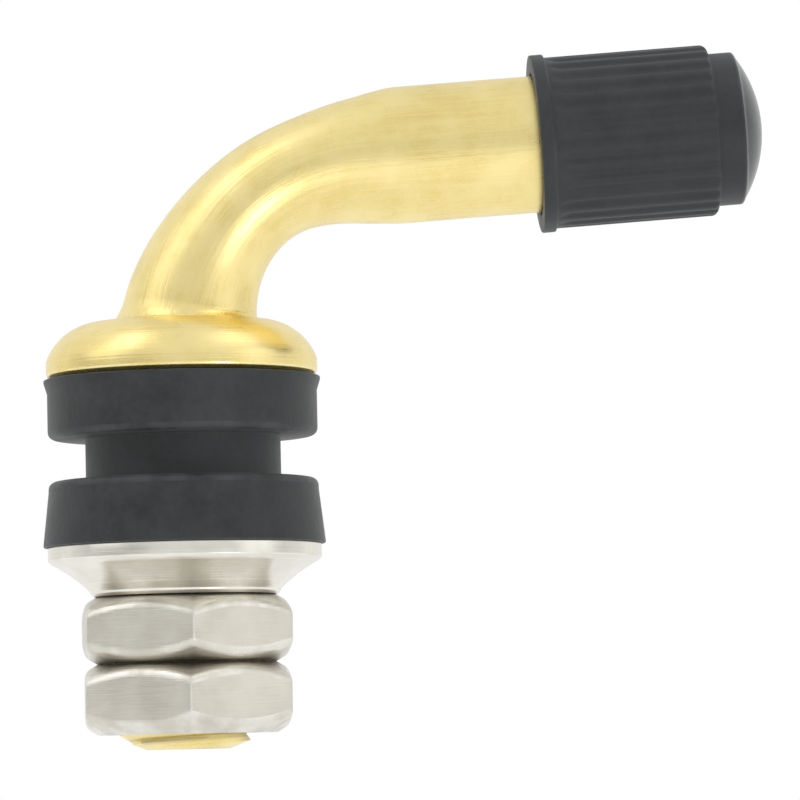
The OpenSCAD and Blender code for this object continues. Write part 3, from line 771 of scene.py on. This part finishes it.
def make_cap():
    bm = blank()
    rib_end = SHOULDER - SHOULDER_ROUND
    dome_z, dome_r, dome_from = CAP_DOME
    outside = [(CAP_MOUTH_R, CAP_MOUTH), (CAP_LIP_R, CAP_MOUTH), (CAP_LIP_R, CAP_MOUTH + CAP_LIP_L),
               (CAP_R, CAP_MOUTH + CAP_LIP_L)]
    outside += [(CAP_R, RIB_START + (rib_end - RIB_START) * k / RIB_STEPS) for k in range(RIB_STEPS)]
    outside += arc(CAP_R - SHOULDER_ROUND, rib_end, SHOULDER_ROUND, 0, 90, 6) + [(CROWN_R, SHOULDER)]
    outside += arc(CROWN_R - CROWN_ROUND, CROWN_TOP - CROWN_ROUND, CROWN_ROUND, 0, 90, 4)
    outside += arc(0, dome_z, dome_r, dome_from, 90, 16)
    grow(bm, rings(*outside), CAP_SIDES)
    grow(bm, rings((0, CAP_RECESS_TOP), (SEAL_HOLE_R, CAP_RECESS_TOP), (SEAL_HOLE_R, SEAL_T),
                   (CAP_ROOT_R, SEAL_T), (CAP_ROOT_R, CAP_THREAD_TOP)), CAP_SIDES)
    grow(bm, rings((CAP_ROOT_R, CAP_THREAD_FOOT), (CAP_MOUTH_R, CAP_MOUTH_CONE), (CAP_MOUTH_R, CAP_MOUTH)),
         CAP_SIDES)
    close_up(bm)
    soften(bm, CAP_EDGE, 3, angle=35)
    cut_ribs(bm)
    threaded(bm, CAP_PITCH, CAP_ROOT_R, CAP_CREST_R, CAP_CREST, CAP_THREAD_FOOT, CAP_THREAD_TOP,
             cap_blank_r, phase=CAP_PITCH / 2, sides=CAP_SIDES)
    close_up(bm)
    return piece(bm, "dust_cap", "cap", "cap", cap_plastic, place=ARM)


def make_turned(name, node, body, material, points, width, segments=2):
    """A small turned piece on the arm's axis."""
    bm = blank()
    grow(bm, rings(*points), CORE_SIDES)
    close_up(bm)
    soften(bm, width, segments)
    return piece(bm, name, node, body, material, place=ARM)


def make_cap_seal():
    return make_turned("mouth_seal", "cap_seal", "seal", seal_rubber,
                       [(SEAL_HOLE_R, 0), (SEAL_R, 0), (SEAL_R, SEAL_T), (SEAL_HOLE_R, SEAL_T),
                        (SEAL_HOLE_R, 0)], width=0.08)


# Valve core

def make_swivel():
    """The threaded head: a flat tang on top, and a crimped lip that holds the barrel's bead."""
    bm = blank()
    tang = [(SWIVEL_END_R, TANG_FOOT), (TANG_R, TANG_FOOT), (TANG_R, TANG_TOP), (SWIVEL_HOLE_R, TANG_TOP)]
    grow(bm, rings(*tang, (SWIVEL_HOLE_R, BEAD_HOLE_TOP), (BEAD_HOLE_R, BEAD_HOLE_TOP),
                   (BEAD_HOLE_R, CRIMP_TOP), (CRIMP_R, CRIMP_TOP), (CRIMP_R, SWIVEL_FOOT),
                   (SWIVEL_END_R, SWIVEL_FOOT)), CORE_SIDES)
    for v in bm.verts:
        if v.co.xy.length > TANG_R - 0.02:
            v.co.y = min(TANG_HALF, max(-TANG_HALF, v.co.y))
    close_up(bm)
    soften(bm, TANG_EDGE, 2, where=lambda e: all(v.co.z > TANG_FOOT - 0.5 for v in e.verts))
    threaded(bm, CORE_PITCH, SWIVEL_ROOT_R, SWIVEL_R, SWIVEL_CREST, SWIVEL_FOOT, TANG_FOOT,
             lambda r, w: min(r, SWIVEL_END_R + (w - SWIVEL_FOOT), SWIVEL_END_R + (TANG_FOOT - w)),
             sides=CORE_SIDES)
    close_up(bm)
    return piece(bm, "core_screw", "core_swivel", "swivel", core_brass, place=ARM)


def make_barrel():
    outside = [(PIN_HOLE_R, BEAD_TOP), (BEAD_R, BEAD_TOP), (BEAD_R, BEAD_FOOT), (NECK_R, BEAD_FOOT),
               (NECK_R, BARREL_COLLAR_TOP), (BARREL_COLLAR_R, BARREL_COLLAR_TOP),
               (BARREL_COLLAR_R, GASKET_TOP), (NECK_R, GASKET_TOP), (NECK_R, GASKET_FOOT),
               (BARREL_R, GASKET_FOOT), (BARREL_R, BARREL_FOOT), (NOZZLE_R, BARREL_FOOT),
               (NOZZLE_R, NOZZLE_FOOT)]
    inside = [(PIN_HOLE_R, NOZZLE_FOOT), (PIN_HOLE_R, CHAMBER_FOOT), (CHAMBER_R, CHAMBER_FOOT),
              (CHAMBER_R, CHAMBER_TOP), (PIN_HOLE_R, CHAMBER_TOP), (PIN_HOLE_R, BEAD_TOP)]
    return make_turned("core_tube", "core_barrel", "core", core_brass, outside + inside,
                       width=0.05)


def make_gasket():
    return make_turned("core_gasket", "barrel_gasket", "core", gasket_polymer,
                       [(GASKET_HOLE_R, GASKET_TOP), (GASKET_R, GASKET_TOP), (GASKET_END_R, GASKET_FOOT),
                        (GASKET_HOLE_R, GASKET_FOOT), (GASKET_HOLE_R, GASKET_TOP)], width=0.1, segments=3)


def make_pin():
    return make_turned("core_needle", "core_pin", "pin", core_brass,
                       [(0, PIN_TOP), (PIN_HEAD_R, PIN_TOP), (PIN_HEAD_R, PIN_HEAD_FOOT),
                        (PIN_R, PIN_HEAD_FOOT), (PIN_R, STOP_TOP), (STOP_R, STOP_TOP), (STOP_R, STOP_FOOT),
                        (PIN_R, STOP_FOOT), (PIN_R, PIN_FOOT), (0, PIN_FOOT)], width=0.06)


def make_cup():
    return make_turned("valve_cup", "core_cup", "pin", core_brass,
                       [(CUP_HOLE_R, CUP_FOOT), (CUP_R, CUP_FOOT), (CUP_R, CUP_TOP), (CUP_INNER_R, CUP_TOP),
                        (CUP_INNER_R, CUP_FLOOR), (CUP_HOLE_R, CUP_FLOOR), (CUP_HOLE_R, CUP_FOOT)],
                       width=0.05)


def make_cup_seal():
    return make_turned("valve_disc", "cup_seal", "pin", seal_rubber,
                       [(CUP_HOLE_R, NOZZLE_FOOT), (CUP_SEAL_R, NOZZLE_FOOT), (CUP_SEAL_R, CUP_FLOOR),
                        (CUP_HOLE_R, CUP_FLOOR), (CUP_HOLE_R, NOZZLE_FOOT)], width=0.06)


def make_spring():
    """A coiled wire with a closed turn at each end."""
    bm = blank()
    stand = Matrix.Translation((COIL_R, 0, COIL_TOP)) @ Matrix.Rotation(math.pi / 2, 4, "X")
    wire = bmesh.ops.create_circle(bm, segments=10, radius=WIRE_R, matrix=stand)["verts"]
    geom = wire + list({e for v in wire for e in v.link_edges})
    for turns, fall in COIL_TURNS:
        steps = 24 * turns
        geom = bmesh.ops.spin(bm, geom=geom, cent=(0, 0, 0), axis=(0, 0, 1), dvec=(0, 0, -fall / steps),
                              angle=2 * math.pi * turns, steps=steps, use_merge=False)["geom_last"]
    bmesh.ops.holes_fill(bm, edges=[e for e in bm.edges if len(e.link_faces) == 1], sides=0)
    bmesh.ops.recalc_face_normals(bm, faces=bm.faces)
    obj = piece(bm, "core_coil", "core_spring", "core", spring_steel, place=ARM)
    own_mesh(obj)
    return obj


make_stem()
make_grommet()
make_washer()
# Each nut's listed ends meet another piece, and their chamfers get painted shade
make_nut("clamp_nut", "nut", "stem", foot=NUT_FOOT, top=WASHER_FOOT, turn=4, shaded_ends=(NUT_FOOT, WASHER_FOOT))
make_nut("lock_nut_hex", "lock_nut", "lock_nut", foot=LOCK_FOOT, top=NUT_FOOT, turn=2.2, shaded_ends=(NUT_FOOT,))
make_cap()
make_cap_seal()
make_swivel()
make_barrel()
make_gasket()
make_pin()
make_cup()
make_cup_seal()
make_spring()


# Studio, in metres

VALVE_MIDDLE = (0.014, 0, 0.002)
FLOOR_R = 0.5
FLOOR_Z = -0.06
FLOOR_PAINT = (0.91, 0.91, 0.91, 1)
WHITE = (1, 1, 1, 1)
# What metal mirrors: the front from its left end on, and the ceiling and back from the middle outwards
FRONT_LEVELS = (0.47, 0.72)
CEILING_LEVELS = (0.82, 0.92)


def make_floor():
    """A pale disc that shows from above only, so that the valve can be seen from below."""
    bm = bmesh.new()
    bmesh.ops.create_circle(bm, cap_ends=True, segments=96, radius=FLOOR_R,
                            matrix=Matrix.Translation((VALVE_MIDDLE[0], 0, FLOOR_Z)))
    mesh = bpy.data.meshes.new("floor")
    bm.to_mesh(mesh)
    bm.free()
    material = bpy.data.materials.new("pale_floor")
    material.use_nodes = True
    tree = material.node_tree
    paint = tree.nodes["Principled BSDF"]
    paint.inputs["Base Color"].default_value = FLOOR_PAINT
    paint.inputs["Roughness"].default_value = 0.8
    clear = put(tree, "ShaderNodeBsdfTransparent")
    below = put(tree, "ShaderNodeNewGeometry").outputs["Backfacing"]
    one_sided = put(tree, "ShaderNodeMixShader", {0: below, 1: paint.outputs[0], 2: clear.outputs[0]})
    tree.links.new(one_sided.outputs[0], tree.nodes["Material Output"].inputs["Surface"])
    mesh.materials.append(material)
    floor = bpy.data.objects.new("floor", mesh)
    bpy.context.scene.collection.objects.link(floor)


def make_world():
    """A white room that metal mirrors a little darker, most of all low on the camera's side."""
    world = bpy.data.worlds.new("studio")
    bpy.context.scene.world = world
    world.use_nodes = True
    tree = world.node_tree
    tree.nodes.clear()
    path = put(tree, "ShaderNodeLightPath").outputs
    seen = combine(tree, "MAXIMUM", path["Is Camera Ray"], path["Is Transmission Ray"])
    way = put(tree, "ShaderNodeTexCoord").outputs["Generated"]
    way = put(tree, "ShaderNodeSeparateXYZ", {"Vector": way}).outputs
    front = span(tree, way["X"], *FRONT_LEVELS, start=-0.9, end=-0.25, curve="SMOOTHSTEP")
    high = span(tree, way["Z"], 0.0, 1.0, start=0.06, end=0.45)
    back = span(tree, way["Y"], 0.0, 1.0, start=-0.15, end=0.4)
    aside = put(tree, "ShaderNodeMath", {0: way["X"]}, operation="ABSOLUTE").outputs[0]
    ceiling = span(tree, aside, *CEILING_LEVELS, end=0.3, curve="SMOOTHSTEP")
    level = span(tree, combine(tree, "MAXIMUM", high, back), front, ceiling)
    mirrored = put(tree, "ShaderNodeBackground", {"Color": WHITE, "Strength": level}).outputs[0]
    white = put(tree, "ShaderNodeBackground", {"Color": WHITE, "Strength": 1.0}).outputs[0]
    lit = put(tree, "ShaderNodeMixShader", {0: path["Is Glossy Ray"], 1: white, 2: mirrored}).outputs[0]
    room = put(tree, "ShaderNodeMixShader", {0: seen, 1: lit, 2: white}).outputs[0]
    tree.links.new(room, put(tree, "ShaderNodeOutputWorld").inputs["Surface"])


def make_lamp(name, place, width, height, power, target=VALVE_MIDDLE, spread=180):
    """A soft box facing the valve; a narrow spread keeps its light on one part."""
    lamp = bpy.data.lights.new(name, "AREA")
    lamp.shape = "RECTANGLE"
    lamp.size, lamp.size_y = width, height
    lamp.energy = power
    lamp.spread = math.radians(spread)
    obj = bpy.data.objects.new(name, lamp)
    obj.location = place
    obj.rotation_euler = (Vector(target) - Vector(place)).to_track_quat("-Z", "Y").to_euler()
    bpy.context.scene.collection.objects.link(obj)


# Camera: its lean in degrees, its distance in millimetres, and the picture's scale and shift in pixels
TILT, ROLL, SWING = 3.4, 1.267, -2.3
FOCUS = Vector((14, 0, 0))
AWAY = 285
PICTURE_PIXELS = 800
PIXELS_PER_MM = 16.979
AIM_LEFT, AIM_UP = 20.9, 53.8
SENSOR = 36


def make_camera():
    """Level with the shank's lower end and looking slightly up, as in the photograph."""
    tilt, roll, swing = math.radians(TILT), math.radians(ROLL), math.radians(SWING)
    pixels = PIXELS_PER_MM * AWAY
    ahead = Vector((0, math.cos(tilt), math.sin(tilt)))
    right, up = Vector((1, 0, 0)), Vector((0, -math.sin(tilt), math.cos(tilt)))
    right, up = right * math.cos(roll) - up * math.sin(roll), right * math.sin(roll) + up * math.cos(roll)
    aim = (ahead * pixels - right * AIM_LEFT + up * AIM_UP).normalized()
    side = aim.cross(up).normalized()
    top = side.cross(aim)
    camera = bpy.data.cameras.new("camera")
    camera.sensor_width = SENSOR
    camera.lens = SENSOR * pixels / PICTURE_PIXELS
    camera.clip_start, camera.clip_end = 0.01, 10
    obj = bpy.data.objects.new("camera", camera)
    spot = (FOCUS - ahead * AWAY) * MM
    facing = Matrix(((side.x, top.x, -aim.x, spot.x), (side.y, top.y, -aim.y, spot.y),
                     (side.z, top.z, -aim.z, spot.z), (0, 0, 0, 1)))
    obj.matrix_world = Matrix.Rotation(swing, 4, "Z") @ facing
    bpy.context.scene.collection.objects.link(obj)
    bpy.context.scene.camera = obj


make_floor()
make_world()
make_lamp("left_box", place=(-0.37, -0.14, 0.22), width=0.26, height=0.40, power=0.14)
make_lamp("right_box", place=(0.37, -0.17, 0.09), width=0.26, height=0.28, power=0.084)
make_lamp("upper_left_box", place=(-0.21, -0.07, 0.40), width=0.16, height=0.16, power=0.08)
make_lamp("upper_right_box", place=(0.24, -0.07, 0.40), width=0.16, height=0.16, power=0.08)
make_lamp("low_box", place=(0.041, -0.053, -0.022), width=0.034, height=0.028, power=0.00034,
          target=(0.0035, 0, 0.0125), spread=32)
make_camera()
bpy.context.scene.view_settings.view_transform = "Standard"
